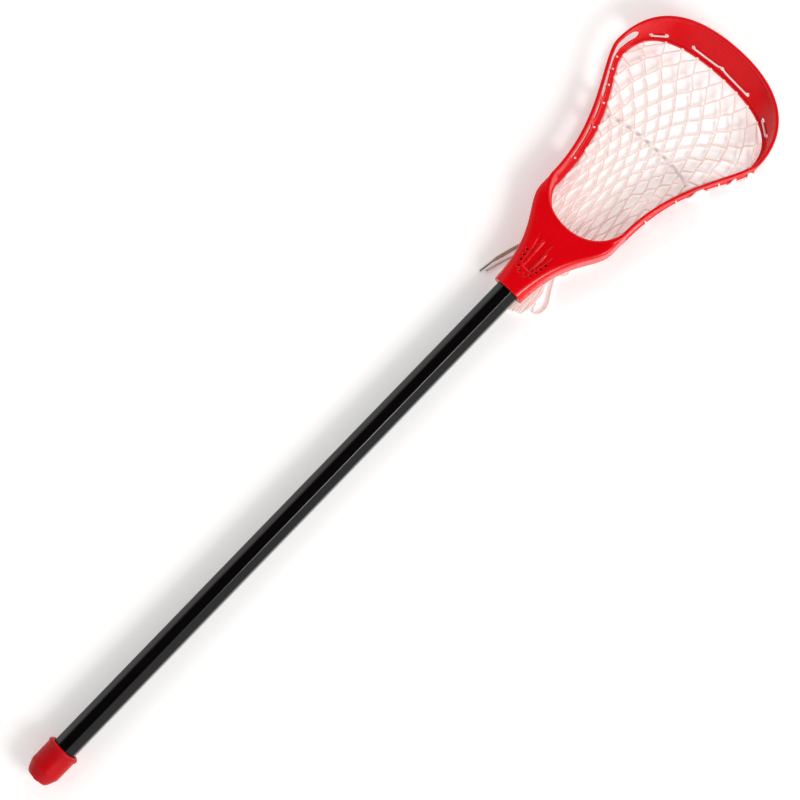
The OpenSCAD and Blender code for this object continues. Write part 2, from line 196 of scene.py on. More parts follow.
def place(piece, body, material, slot, *nodes):
    """Finishes a piece: its material, its body and the CAD nodes that it stands for. slot is not
    used.
    """
    piece.data.materials.clear()
    piece.data.materials.append(material)
    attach(piece, body)
    if nodes:
        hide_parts(*nodes)
    return piece


# ---- Materials ----

class Shader:
    """A Principled material with a short way to add nodes."""

    def __init__(self, name, **values):
        self.material = bpy.data.materials.new(name)
        self.material.use_nodes = True
        self.tree = self.material.node_tree
        self.principled = self.tree.nodes["Principled BSDF"]
        for key, value in values.items():
            self.principled.inputs[key.replace("_", " ")].default_value = value
        self.place = self.tree.nodes.new("ShaderNodeTexCoord").outputs["Object"]

    def node(self, kind, links=None, **values):
        made = self.tree.nodes.new("ShaderNode" + kind)
        for key, value in values.items():
            setattr(made, key, value)
        for key, value in (links or {}).items():
            if isinstance(value, bpy.types.NodeSocket):
                self.tree.links.new(value, made.inputs[key])
            else:
                made.inputs[key].default_value = value
        return made

    def stretched(self, x, y, z):
        """Object coordinates with a scale for each axis."""
        return self.node("Mapping", {"Vector": self.place, "Scale": (x, y, z)}).outputs["Vector"]

    def noise(self, scale, detail=3.0, roughness=0.55, at=None):
        at = self.place if at is None else at
        made = self.node("TexNoise", {"Vector": at, "Scale": scale, "Detail": detail,
                                      "Roughness": roughness})
        return made.outputs["Fac"]

    def ramp(self, fac, *stops):
        """A colour ramp of (position, colour or grey level)."""
        made = self.node("ValToRGB", {"Fac": fac})
        ramp = made.color_ramp
        while len(ramp.elements) < len(stops):
            ramp.elements.new(0.5)
        for element, (position, colour) in zip(ramp.elements, stops):
            element.position = position
            grey = isinstance(colour, (int, float))
            element.color = (colour,) * 3 + (1,) if grey else (*colour, 1)
        return made.outputs["Color"]

    def blend(self, kind, fac, a, b):
        made = self.node("MixRGB", {"Fac": fac, "Color1": a, "Color2": b}, blend_type=kind)
        return made.outputs["Color"]

    def bump(self, height, strength, distance, normal=None):
        links = {"Height": height, "Strength": strength, "Distance": distance}
        if normal is not None:
            links["Normal"] = normal
        return self.node("Bump", links).outputs["Normal"]

    def feed(self, **links):
        for key, socket in links.items():
            self.tree.links.new(socket, self.principled.inputs[key.replace("_", " ")])
        return self.material


def red_plastic():
    """Glossy moulded nylon: slight depth in the red, orange-peel ripple, faint scuffs."""
    s = Shader("red_plastic", IOR=1.46, Specular_IOR_Level=0.35)
    cloud = s.noise(14, 4)
    scuff = s.noise(1.0, 6, 0.7, s.stretched(260, 60, 260))
    colour = s.ramp(cloud, (0.3, (0.66, 0.0, 0.003)), (0.7, (0.74, 0.0, 0.005)))
    rough = s.ramp(scuff, (0.35, 0.20), (0.62, 0.26), (0.75, 0.36))
    peel = s.noise(420, 2)
    ripple = s.noise(60, 3)
    normal = s.bump(ripple, 0.10, 0.002, s.bump(peel, 0.05, 0.0005))
    return s.feed(Base_Color=colour, Roughness=rough, Normal=normal)


def red_rubber():
    """Satin rubber: darker, with fine grain and rubbed patches."""
    s = Shader("red_rubber", IOR=1.45, Specular_IOR_Level=0.2)
    cloud = s.noise(90, 5, 0.65)
    colour = s.ramp(cloud, (0.3, (0.42, 0.0, 0.003)), (0.7, (0.54, 0.0, 0.005)))
    rough = s.ramp(s.noise(160, 5, 0.7), (0.3, 0.34), (0.7, 0.50))
    normal = s.bump(s.noise(240, 3), 0.14, 0.001, s.bump(s.noise(1500, 2), 0.10, 0.0003))
    return s.feed(Base_Color=colour, Roughness=rough, Normal=normal)


def black_coat():
    """Satin black coat over drawn aluminium: fine lengthwise lines, small specks of dust."""
    s = Shader("black_coat", IOR=1.45, Specular_IOR_Level=0.4)
    lines = s.noise(1.0, 5, 0.7, s.stretched(900, 9, 900))
    specks = s.noise(1900, 1)
    base = s.ramp(lines, (0.25, (0.0012, 0.0009, 0.0009)), (0.75, (0.0030, 0.0022, 0.0022)))
    dust = s.ramp(specks, (0.70, 0.0), (0.80, 1.0))
    colour = s.blend("MIX", dust, base, (0.008, 0.007, 0.007, 1))
    rough = s.ramp(lines, (0.25, 0.13), (0.75, 0.20))
    normal = s.bump(lines, 0.12, 0.0004)
    return s.feed(Base_Color=colour, Roughness=rough, Normal=normal)


def zinc():
    """Zinc-plated steel with turning marks."""
    s = Shader("zinc", Metallic=1.0)
    marks = s.noise(1.0, 4, 0.7, s.stretched(1400, 1400, 200))
    colour = s.ramp(marks, (0.3, (0.46, 0.46, 0.48)), (0.7, (0.66, 0.66, 0.68)))
    rough = s.ramp(marks, (0.3, 0.22), (0.7, 0.40))
    return s.feed(Base_Color=colour, Roughness=rough, Normal=s.bump(marks, 0.15, 0.0002))


def yarn(name, dark, light, fibre=2600, sheen=0.35, glow=0.25, painted_glow=0.0):
    """Textile yarn: fibres, soft sheen and a little light through it. The emission strength is a
    painted glow, added only to bring the yarn up to the wanted brightness; yarn gives off no light
    of its own."""
    s = Shader(name, Roughness=0.85, Sheen_Weight=sheen, Sheen_Roughness=0.45,
               Subsurface_Weight=glow, Subsurface_Scale=0.0012,
               Emission_Color=(1.0, 0.93, 0.88, 1), Emission_Strength=painted_glow)
    fibres = s.noise(fibre, 4, 0.7)
    patches = s.noise(120, 3)
    mottled = s.blend("OVERLAY", 0.35, s.ramp(fibres, (0.3, dark), (0.65, light)),
                      s.ramp(patches, (0.3, 0.42), (0.7, 0.60)))
    normal = s.bump(fibres, 0.5, 0.0004)
    return s.feed(Base_Color=mottled, Normal=normal)


def woven(name, dark, light, pitch=1.1):
    """Flat woven lace: a fine diagonal weave over fibres."""
    s = Shader(name, Roughness=0.8, Sheen_Weight=0.3, Sheen_Roughness=0.4,
               Subsurface_Weight=0.2, Subsurface_Scale=0.001)
    wave = s.node("TexWave", {"Vector": s.place, "Scale": 314 / pitch, "Distortion": 1.5,
                              "Detail": 2.0, "Detail Scale": 3.0}, bands_direction="DIAGONAL")
    fibres = s.noise(2400, 3)
    colour = s.blend("MULTIPLY", 0.5, s.ramp(wave.outputs["Fac"], (0.1, dark), (0.8, light)),
                     s.ramp(fibres, (0.25, 0.7), (0.7, 1.0)))
    normal = s.bump(wave.outputs["Fac"], 0.55, 0.0004, s.bump(fibres, 0.3, 0.0002))
    return s.feed(Base_Color=colour, Normal=normal)


def film():
    """The aglet's thin grey plastic film, wound tight."""
    s = Shader("grey_film", IOR=1.5)
    bands = s.noise(1.0, 3, 0.6, s.stretched(300, 1500, 300))
    colour = s.ramp(bands, (0.3, (0.16, 0.15, 0.145)), (0.7, (0.30, 0.28, 0.27)))
    rough = s.ramp(bands, (0.3, 0.25), (0.7, 0.45))
    return s.feed(Base_Color=colour, Roughness=rough, Normal=s.bump(bands, 0.2, 0.0003))


def paper():
    """The pale floor."""
    s = Shader("pale_floor", Roughness=0.9, Emission_Color=(1.0, 0.99, 0.985, 1),
               Emission_Strength=0.2)
    grain = s.ramp(s.noise(3, 2), (0.3, (0.93, 0.925, 0.92)), (0.7, (0.95, 0.945, 0.94)))
    return s.feed(Base_Color=grain)


PLASTIC = red_plastic()
RUBBER = red_rubber()
COAT = black_coat()
ZINC = zinc()
# The net yarn and the white string get a painted glow from cream emission, which brightens them as
# if more light fell on them.
NET = yarn("net_yarn", (0.74, 0.46, 0.42), (1.0, 0.96, 0.91), glow=0.1, painted_glow=0.16)
STRING = yarn("white_string", (0.80, 0.62, 0.60), (0.98, 0.92, 0.90), sheen=0.5, painted_glow=0.10)
LACE = woven("white_lace", (0.84, 0.76, 0.75), (0.97, 0.92, 0.91))
TAN = woven("tan_lace", (0.36, 0.25, 0.17), (0.62, 0.48, 0.38), 1.3)
PALE = yarn("pale_tail", (0.52, 0.40, 0.37), (0.82, 0.74, 0.71), 2000)
FILM = film()


# ---- Camera ----

VIEW_ROLL = math.radians(10)
VIEW_TILT = math.radians(3)
VIEW_TURN = math.radians(45.93)
VIEW_DISTANCE = 1900
VIEW_Y = 15.2
VIEW_X = 1.4
SENSOR = 36
LENS = 91.62


def make_camera():
    """The stick rolls a little to its left and its far end tips down, as the photograph has it."""
    look = np.array([-math.sin(VIEW_ROLL), math.sin(VIEW_TILT), 0])
    look[2] = -math.sqrt(1 - look.dot(look))
    along = unit(np.array([0, 1, 0]) - look * look[1])
    across = np.cross(look, along)
    right = math.cos(VIEW_TURN) * along + math.sin(VIEW_TURN) * across
    up = math.sin(VIEW_TURN) * along - math.cos(VIEW_TURN) * across
    target = np.array([0, VIEW_Y, AXIS_Z]) - across * VIEW_X
    spot = (target - look * VIEW_DISTANCE) * MM
    data = bpy.data.cameras.new("camera")
    data.lens, data.sensor_width = LENS, SENSOR
    data.clip_start, data.clip_end = 0.05, 50
    camera = bpy.data.objects.new("camera", data)
    bpy.context.scene.collection.objects.link(camera)
    turn = Matrix([Vector(right), Vector(up), Vector(-look)]).transposed()
    camera.matrix_world = Matrix.Translation(Vector(spot)) @ turn.to_4x4()
    bpy.context.scene.camera = camera


make_camera()


# ---- Free ends behind the throat: points from the throat's end, on the ground ----

FLAT_TAIL = [[-20, 50, 1], [-24, 45, 1], [-27, 38, 1], [-30, 28, 1], [-33, 17, 1], [-34, 12, 1]]
TIP = [[-34, 12, 1], [-35, 5, 1], [-36, -2, 1]]
ROUND_TAIL = [[-20, 42, 1.4], [-23, 30, 1.3], [-27, 19, 1.3], [-30, 9, 1.3], [-32, 2, 1.3]]
LOOP = [[20, 42, 1.4], [28, 28, 1.4], [33, 20, 1.4], [35, 12, 1.4], [33, 6, 1.4], [29, 4, 1.4],
        [26, 7, 1.4], [25, 12, 1.4]]
FLAT_W, FLAT_T = 3.6, 1.1
FLAT_NARROWS, FLAT_NARROW_FROM = 0.45, 0.82
ROUND_D = 2.6
LOOP_D = 2.8
TIP_D = 1.8
TIP_NOSE, ROUND_NOSE = 1.2, 1.6


def at_throat(points, step=0.6):
    return through(np.array(points) + [0, Y_BASE, 0], step)


def tapered(line, start, end):
    """1 along a line, falling in a round nose over the start's and the end's length."""
    along = travelled(line)
    nose = np.ones(len(line))
    for length, left in ((start, along), (end, along[-1] - along)):
        if length:
            f = np.clip(left / length, 0, 1)
            nose *= np.sqrt(np.clip(1 - (1 - f) ** 2, 0.02, 1))
    return nose


def make_cords():
    flat = at_throat(FLAT_TAIL)
    end_share = (np.linspace(0, 1, len(flat)) - FLAT_NARROW_FROM) / (1 - FLAT_NARROW_FROM)
    narrowing = 1 - FLAT_NARROWS * eased(end_share)
    ridge = 1 + 0.05 * np.sin(np.arange(len(flat)) * math.pi * 0.9)
    lace = new_piece("tan_lace_tail", *tube(flat, FLAT_W / 2 * narrowing, FLAT_T / 2 * ridge, 16,
                                            square=0.7))
    tip_line = at_throat(TIP, 0.4)
    nose = tapered(tip_line, 0, TIP_NOSE)
    tip = new_piece("aglet", *tube(tip_line, TIP_D / 2 * nose, 0.8 * TIP_D / 2 * nose, 14))
    place(lace, "stick", TAN, "tan_lace", "flat_lace_tail")
    place(tip, "stick", FILM, "tip", "lace_tip")

    pale_line = at_throat(ROUND_TAIL)
    nose = tapered(pale_line, 0, ROUND_NOSE)
    weave = 1 + 0.06 * np.sin(np.arange(len(pale_line)) * math.pi * 0.5)
    pale = new_piece("pale_lace_tail", *tube(pale_line, ROUND_D / 2 * nose * weave,
                                             ROUND_D / 2 * nose * weave * 0.9, 14))
    place(pale, "stick", PALE, "lace", "round_lace_tail")

    loop_line = at_throat(LOOP)
    weave = 1 + 0.04 * np.sin(np.arange(len(loop_line)) * math.pi * 0.6)
    loop = new_piece("white_loop", *tube(loop_line, LOOP_D / 2 * weave, LOOP_D / 2 * weave, 14))
    place(loop, "stick", STRING, "string", "cord_loop")


make_cords()


# ---- The head's curves, as the CAD model has them ----

HEAD_HW = head_high[0]
CHANNEL_HW = 46.3
THROAT_LEN = 79.5
CHANNEL_Y = 110
SCOOP_LEN = 66
RAIL_TOP = 34
LIP_TOP = head_high[2]
SCOOP_BACK_Z = 13
SCOOP_RAKE = 18.5
CHANNEL_INSET = 1.2
WIDE_INSET = 3.5
TOP_RAIL_T = 3.6
BOTTOM_RAIL_T = 5.2
RAIL_H = 5.5
WEB_T = 1.6
WEB_IN = 0.9
EDGE_R = 1.4
# The step from a rail's face to the web slopes over this height, from this far inside
RAMP_H, RAMP_IN = 1.2, 0.1
HOLE_D = 3.8
THROAT_HH = 14.5
THROAT_WALL = 4.9
THROAT_HW = SHAFT_AF / 2 + 0.2 + THROAT_WALL
FIT = 0.15

Y_CHANNEL = Y_BASE + CHANNEL_Y
Y_WIDE = Y_TIP - SCOOP_LEN
Y_OPENING = Y_BASE + THROAT_LEN
SIDE_LEN = Y_WIDE - Y_CHANNEL
THROAT_EDGE_T = 5.5
LOW_EDGE_T = 4
LOW_THROAT_Z = 7
TOP_Y0 = Y_OPENING - THROAT_EDGE_T
LOW_Y0 = Y_OPENING - LOW_EDGE_T
BACK_Y = Y_TIP - SCOOP_RAKE
BACK_LEN = BACK_Y - Y_WIDE
LOW_CHANNEL = CHANNEL_HW - CHANNEL_INSET
LOW_WIDE = HEAD_HW - WIDE_INSET

TOP_CURVE = [
    [[0, TOP_Y0, RAIL_TOP], [0.68 * CHANNEL_HW, TOP_Y0, RAIL_TOP],
     [CHANNEL_HW, Y_CHANNEL - 14, RAIL_TOP], [CHANNEL_HW, Y_CHANNEL, RAIL_TOP]],
    [[CHANNEL_HW, Y_CHANNEL, RAIL_TOP], [CHANNEL_HW, Y_CHANNEL + 0.5 * SIDE_LEN, RAIL_TOP],
     [HEAD_HW, Y_WIDE - 0.16 * SIDE_LEN, RAIL_TOP - 1], [HEAD_HW, Y_WIDE, RAIL_TOP - 1]],
    [[HEAD_HW, Y_WIDE, RAIL_TOP - 1], [HEAD_HW, Y_WIDE + 0.5 * SCOOP_LEN, RAIL_TOP - 1],
     [0.78 * HEAD_HW, Y_TIP, LIP_TOP], [0, Y_TIP, LIP_TOP]]]
LOW_CURVE = [
    [[0, LOW_Y0, LOW_THROAT_Z], [0.64 * LOW_CHANNEL, LOW_Y0, LOW_THROAT_Z],
     [LOW_CHANNEL, Y_CHANNEL - 10, LOW_THROAT_Z - 1], [LOW_CHANNEL, Y_CHANNEL, 0]],
    [[LOW_CHANNEL, Y_CHANNEL, 0], [LOW_CHANNEL, Y_CHANNEL + 0.63 * SIDE_LEN, 0],
     [LOW_WIDE, Y_WIDE - 0.18 * SIDE_LEN, 0], [LOW_WIDE, Y_WIDE, 0]],
    [[LOW_WIDE, Y_WIDE, 0], [LOW_WIDE, Y_WIDE + 0.5 * BACK_LEN, 0],
     [0.85 * LOW_WIDE, BACK_Y, SCOOP_BACK_Z], [0, BACK_Y, SCOOP_BACK_Z]]]


def on_rail(curve, k, t, inside, up):
    """Points beside a rail's curve: inside is measured level, square to the curve."""
    d = slope(curve[k], t)
    out = unit(np.stack([d[:, 1], -d[:, 0], 0 * d[:, 0]], 1))
    inside = np.broadcast_to(inside, len(d))[:, None]
    return bezier(curve[k], t) - inside * out + [0, 0, up]


def top_width(k, t):
    return mix(THROAT_EDGE_T, TOP_RAIL_T, np.asarray(t) ** 4 if k == 0 else 1 + 0 * np.asarray(t))


def low_width(k, t):
    return mix(LOW_EDGE_T, BOTTOM_RAIL_T, np.asarray(t) ** 4 if k == 0 else 1 + 0 * np.asarray(t))


def rounded(inside, up, r, start, end, n=4):
    """(inside, up) points of a round corner about a centre, from one angle to another."""
    a = np.radians(np.linspace(start, end, n))
    return [(inside + r * math.cos(x), up + r * math.sin(x)) for x in a]


def ring_points(k, t):
    """The sidewall's section at places t of piece k, outside first, as (places, points, 3)."""
    t = np.atleast_1d(t)
    top_t, low_t = top_width(k, t), low_width(k, t)
    r = EDGE_R
    rows = []
    for a, b in rounded(r, r, r, 270, 180):
        rows.append(on_rail(LOW_CURVE, k, t, a, b))
    rows.append(on_rail(LOW_CURVE, k, t, RAMP_IN, RAIL_H - RAMP_H))
    rows.append(on_rail(LOW_CURVE, k, t, WEB_IN, RAIL_H))
    rows.append(on_rail(TOP_CURVE, k, t, WEB_IN, -RAIL_H))
    rows.append(on_rail(TOP_CURVE, k, t, RAMP_IN, RAMP_H - RAIL_H))
    for a, b in rounded(r, -r, r, 180, 90):
        rows.append(on_rail(TOP_CURVE, k, t, a, b))
    for a, b in rounded(-r, -r, r, 90, 0):
        rows.append(on_rail(TOP_CURVE, k, t, top_t + a, b))
    rows.append(on_rail(TOP_CURVE, k, t, top_t, RAMP_H - RAIL_H))
    rows.append(on_rail(TOP_CURVE, k, t, WEB_IN + WEB_T, -RAIL_H))
    rows.append(on_rail(LOW_CURVE, k, t, WEB_IN + WEB_T, RAIL_H))
    for a, b in rounded(-r, RAIL_H - r, r, 90, 0):
        rows.append(on_rail(LOW_CURVE, k, t, low_t + a, b))
    for a, b in rounded(-r, r, r, 0, -90):
        rows.append(on_rail(LOW_CURVE, k, t, low_t + a, b))
    return np.stack(rows, 1)


# Sections along each of the rail's three pieces
STEPS = (34, 60, 60)


def all_places(rings_of):
    """Rings right round the head from a function of (piece, positions)."""
    right = [rings_of(k, np.arange(n) / n) for k, n in enumerate(STEPS)]
    right = np.vstack(right + [rings_of(2, np.array([1.0]))])
    left = right[-2:0:-1] * [-1, 1, 1]
    return np.vstack([right, left])


def hoop(rings):
    """Verts and faces of rings that close on themselves."""
    verts, faces = skin(np.vstack([rings, rings[:1]]), closed_ends=False)
    n = len(rings) * rings.shape[1]
    return verts[:n], [tuple(k % n for k in f) for f in faces]


def strip_ends(rings):
    """A loft whose ends are closed by strips from side to side."""
    verts, faces = skin(rings, closed_ends=False)
    n, m = rings.shape[:2]
    z = (n - 1) * m
    for j in range(m // 2 - 1):
        faces.append((j, j + 1, m - 2 - j, m - 1 - j))
        faces.append((z + m - 1 - j, z + m - 2 - j, z + j + 1, z + j))
    return verts, faces


# ---- The head ----

THROAT_CORNER = Y_BASE + 94
THROAT_SIDE = [[THROAT_HW, Y_BASE, 0], [THROAT_HW, Y_BASE + 60, 0],
               [CHANNEL_HW, THROAT_CORNER - 22, 0], [CHANNEL_HW, THROAT_CORNER, 0]]
# How square the throat's section is at the tube's end and at the channel
THROAT_ROUND, THROAT_SQUARE = 3, 14
PLUG_IN_RAIL, PLUG_REACH = 1, 30


def throat_ring(hw, y, f, points=96):
    """A soft-cornered box in section that grows squarer towards the channel."""
    bottom = mix(AXIS_Z - THROAT_HH, LOW_THROAT_Z + 0.5, f)
    top = mix(AXIS_Z + THROAT_HH, RAIL_TOP - 0.1, f)
    power = 2 / mix(THROAT_ROUND, THROAT_SQUARE, f)
    inset = 0.05 + 0.25 * f
    a = 2 * math.pi * (np.arange(points) + 0.5) / points
    c, s = np.cos(a), np.sin(a)
    x = (hw - inset) * np.sign(c) * np.abs(c) ** power
    z = (top + bottom) / 2 + (top - bottom) / 2 * np.sign(s) * np.abs(s) ** power
    return np.stack([x, np.full(points, y), z], 1)


def throat_shape():
    f = np.linspace(0, 1, 41)
    line = bezier(THROAT_SIDE, f)
    rings = [throat_ring(p[0], p[1], g) for p, g in zip(line, f)]
    rings.append(throat_ring(CHANNEL_HW, Y_CHANNEL + 2, 1))
    return skin(np.array(rings))


def opening_plug():
    """The space inside the head, reaching a little way into the rails."""
    def column(k, t):
        low = on_rail(LOW_CURVE, k, t, low_width(k, t) - PLUG_IN_RAIL, 0)
        top = on_rail(TOP_CURVE, k, t, top_width(k, t) - PLUG_IN_RAIL, 0)
        below, above = low.copy(), top.copy()
        below[:, 2], above[:, 2] = -PLUG_REACH, LIP_TOP + PLUG_REACH
        return np.stack([below, low, top, above], 1)
    return strip_ends(all_places(column).transpose(1, 0, 2))


def bore(centre, direction, r, length, sides=32):
    """A round cutter along a direction."""
    d = unit(np.asarray(direction, float))
    up = (0, 0, 1) if abs(d[2]) < 0.9 else (1, 0, 0)
    ends = np.array([centre - d * length / 2, centre, centre + d * length / 2])
    return tube(ends, r, r, sides, up)


def slot_outline(start, end, height, z):
    """A slot with round ends, as (y, z)."""
    r = height / 2
    a = np.radians(np.linspace(90, 270, 13))
    left = [(start + r + r * math.cos(x), z + r * math.sin(x)) for x in a]
    right = [(end - r - r * math.cos(x), z - r * math.sin(x)) for x in a]
    return left + right


WINDOWS = [(0.165, 0.45, 7), (0.49, 0.62, 7), (0.645, 1.16, 14)]
WINDOW_Z = 18
SIDE_HOLES = (0.12, 0.3, 0.46, 0.6, 0.75, 0.9)
SCOOP_HOLES = (0.446, 0.605, 0.817, 1)
SCOOP_HOLE_F = 0.12
SIDE_HOLE_Z = RAIL_H + 3
SIDE_BORE, SCOOP_BORE, THROAT_BORE = 12, 9, 40
THROAT_HOLES, THROAT_HOLE_Z = (12, 27), 12.0
# The throat's edge moves along the stick by this times x squared
THROAT_EDGE_BOW = 0.0045


def window_cutters():
    made = []
    for start, end, height in WINDOWS:
        y0, y1 = Y_CHANNEL + start * SIDE_LEN, Y_CHANNEL + end * SIDE_LEN
        outline = slot_outline(y0, y1, height, WINDOW_Z)
        for s in (-1, 1):
            near, far = s * HEAD_HW * 0.28, s * HEAD_HW * 1.04
            rings = np.array([[(x, y, z) for y, z in outline] for x in (near, far)])
            made.append(skin(rings))
    return made


def wall_point(t, f, out):
    """A point on the middle of the scoop's wall, moved out along the wall's own normal."""
    low = on_rail(LOW_CURVE, 2, t, WEB_IN + WEB_T / 2, RAIL_H)
    top = on_rail(TOP_CURVE, 2, t, WEB_IN + WEB_T / 2, -RAIL_H)
    d = slope(LOW_CURVE[2], t) * [1, 1, 0]
    normal = unit(np.cross(d, top - low))
    return mix(low, top, f) + out * normal, normal


def hole_cutters():
    made = []
    for s in (-1, 1):
        flip = np.array([s, 1, 1])
        for t in SIDE_HOLES:
            centre = on_rail(LOW_CURVE, 1, t, WEB_IN + WEB_T / 2, SIDE_HOLE_Z)[0] * flip
            d = slope(LOW_CURVE[1], t)[0]
            made.append(bore(centre, np.array([d[1], -d[0], 0]) * flip, HOLE_D / 2, SIDE_BORE))
        for t in SCOOP_HOLES:
            if t < 1 or s > 0:
                centre, normal = wall_point(t, SCOOP_HOLE_F, 0)
                made.append(bore(centre[0] * flip, normal[0] * flip, HOLE_D / 2, SCOOP_BORE))
        for x in THROAT_HOLES:
            centre = np.array([s * x, Y_OPENING + THROAT_EDGE_BOW * x * x, THROAT_HOLE_Z])
            made.append(bore(centre, (0, 1, -1), HOLE_D / 2, THROAT_BORE))
    return made


# The face recess is a fan-shaped hollow that deepens towards the throat's end. Two ribs split it
# into lanes. Each lane is [left, right] at its deep end, [left, right] at its shallow end, and
# how far from the throat's end the two are. It is cut deeper than in the CAD model, and so are
# the dimples.
RECESS_DEPTHS = (2.4, 2.1, 0.05)
FACE_Z = AXIS_Z + THROAT_HH
LANES = [((-5.6, -4.9), (-13.4, -6.6), 26, 60), ((-4.1, 3.4), (-5.0, 3.9), 25, 62),
         ((5.0, 6.1), (5.3, 12.6), 25, 52)]
DIMPLES = [(11.9, 39.5), (10.7, 34), (9.8, 28.7), (7.7, 23), (3.3, 20)]
DIMPLE_R, DIMPLE_LEN, DIMPLE_UP = 1.45, 6, 2.0
# The face falls away to the sides: a dimple drops by a base and by a share of x squared
DIMPLE_DROP, DIMPLE_FALL = 1.3, 0.012
ABOVE_FACE = 4


def recess_cutters():
    made = []
    for deep, shallow, start, end in LANES:
        rings = []
        for f, depth in zip((0, 0.5, 1), RECESS_DEPTHS):
            left, right = mix(deep[0], shallow[0], f), mix(deep[1], shallow[1], f)
            y, floor = Y_BASE + mix(start, end, f), FACE_Z - depth
            roof = FACE_Z + ABOVE_FACE
            rings.append([(left, y, floor), (right, y, floor), (right, y, roof), (left, y, roof)])
        made.append(skin(np.array(rings)))
    return made


def dimple_cutters():
    made = []
    for s in (-1, 1):
        for x, y in DIMPLES:
            drop = DIMPLE_DROP + DIMPLE_FALL * x * x
            centre = np.array([s * x, Y_BASE + y, FACE_Z - drop + DIMPLE_UP])
            made.append(bore(centre, (0, 0, 1), DIMPLE_R, DIMPLE_LEN))
    return made


HALF_FACET = math.radians(22.5)


def octagon_ring(af, y):
    """A sharp octagon about the axis, with flats up, down and to the sides."""
    a = np.radians(22.5 + 45 * np.arange(8))
    r = af / 2 / math.cos(HALF_FACET)
    return np.stack([r * np.cos(a), np.full(8, y), AXIS_Z + r * np.sin(a)], 1)


SOCKET_END = shaft_high[1] + 0.5
SCREW_Y = Y_BASE + 24
SCREW_R, SCREW_HEAD_R = 1.75, 3.4
SEAT_Z = AXIS_Z - THROAT_HH + 2.4
SEAT_LEN, SEAT_FIT = 10, 0.3


def socket_cutters():
    bar = skin(np.array([octagon_ring(SHAFT_AF + 2 * FIT, y) for y in (Y_BASE - 1, SOCKET_END)]))
    shank = bore(np.array([0, SCREW_Y, AXIS_Z / 2]), (0, 0, 1), SCREW_R + FIT, AXIS_Z)
    seat = bore(np.array([0, SCREW_Y, SEAT_Z - SEAT_LEN / 2]), (0, 0, 1), SCREW_HEAD_R + SEAT_FIT,
                SEAT_LEN)
    return [bar, shank, seat]


def cut(piece, cutters):
    """The piece with cutters taken out of it."""
    for i, cutter in enumerate(cutters):
        tool = new_piece(f"cutter_{i}", *cutter)
        change = piece.modifiers.new("cut", "BOOLEAN")
        change.object, change.operation, change.solver = tool, "DIFFERENCE", "MANIFOLD"
        applied(piece)
        bpy.data.objects.remove(tool)
    return piece


HEAD_VOXEL = 0.5 * MM
HEAD_FACES = 90000
SOFTEN_SHARE, SOFTEN_TIMES = 0.5, 4


def make_head():
    """Walls and throat are cut apart, then joined by a fine remesh that also softens edges."""
    walls = new_piece("walls", *hoop(all_places(ring_points)))
    throat = new_piece("throat", *throat_shape())
    cut(throat, [opening_plug()])
    cut(walls, window_cutters() + [merged(hole_cutters())])
    cut(throat, [merged(hole_cutters()), merged(recess_cutters()), merged(dimple_cutters())])
    cut(throat, socket_cutters())
    both = bmesh.new()
    both.from_mesh(walls.data)
    both.from_mesh(throat.data)
    both.to_mesh(walls.data)
    both.free()
    bpy.data.objects.remove(throat)
    remesh = walls.modifiers.new("remesh", "REMESH")
    remesh.mode, remesh.voxel_size = "VOXEL", HEAD_VOXEL
    soften = walls.modifiers.new("soften", "SMOOTH")
    soften.factor, soften.iterations = SOFTEN_SHARE, SOFTEN_TIMES
    applied(walls)
    thin = walls.modifiers.new("thin", "DECIMATE")
    thin.ratio = min(1, HEAD_FACES * 2 / sum(len(p.vertices) - 2 for p in walls.data.polygons))
    applied(walls)
    walls.data.polygons.foreach_set("use_smooth", [True] * len(walls.data.polygons))
    walls.name = "head_shell"
    place(walls, "stick", PLASTIC, "head", "head_frame")


make_head()


# ---- Shaft, cap and screw ----

def rounded_octagon(af, r, steps=5):
    """An octagon with round corners, as (x, z) about the axis."""
    points = []
    inner = af / 2 - r
    for i in range(8):
        corner = math.radians(22.5 + 45 * i)
        cx = inner / math.cos(HALF_FACET) * math.cos(corner)
        cz = inner / math.cos(HALF_FACET) * math.sin(corner)
        for a in np.linspace(corner - HALF_FACET, corner + HALF_FACET, steps + 1):
            points.append((cx + r * math.cos(a), cz + r * math.sin(a)))
    return np.array(points)


SHAFT_WALL = 1.5
SHAFT_EDGE_R, SHAFT_BORE_R = 2.4, 0.8
SHAFT_RINGS = 60
# The tube's ends are broken: this much smaller, over this length
END_SHRINK, END_BREAK = 0.985, 0.3


def make_shaft():
    outer = rounded_octagon(SHAFT_AF, SHAFT_EDGE_R)
    inner = rounded_octagon(SHAFT_AF - 2 * SHAFT_WALL, SHAFT_BORE_R)
    ys = np.linspace(shaft_low[1], shaft_high[1], SHAFT_RINGS)

    def ring(profile, y):
        return np.column_stack([profile[:, 0], np.full(len(profile), y), AXIS_Z + profile[:, 1]])

    rings = [ring(outer * END_SHRINK, ys[0])]
    rings += [ring(outer, y) for y in (ys[0] + END_BREAK, *ys[1:-1], ys[-1] - END_BREAK)]
    rings.append(ring(outer * END_SHRINK, ys[-1]))
    rings += [ring(inner, y) for y in ys[::-1]]
    piece = new_piece("shaft", *hoop(np.array(rings)))
    hole = bore(np.array([0, SCREW_Y, AXIS_Z - SHAFT_AF / 2]), (0, 0, 1), SCREW_R, 8)
    cut(piece, [hole])
    bevel_shading(piece)
    place(piece, "stick", COAT, "shaft", "shaft_tube")


def bevel_shading(piece, angle=35):
    """Smooth faces, with creases steeper than an angle left sharp."""
    made = bmesh.new()
    made.from_mesh(piece.data)
    for edge in made.edges:
        edge.smooth = len(edge.link_faces) == 2 and edge.calc_face_angle(0) < math.radians(angle)
    for face in made.faces:
        face.smooth = True
    made.to_mesh(piece.data)
    made.free()


make_shaft()

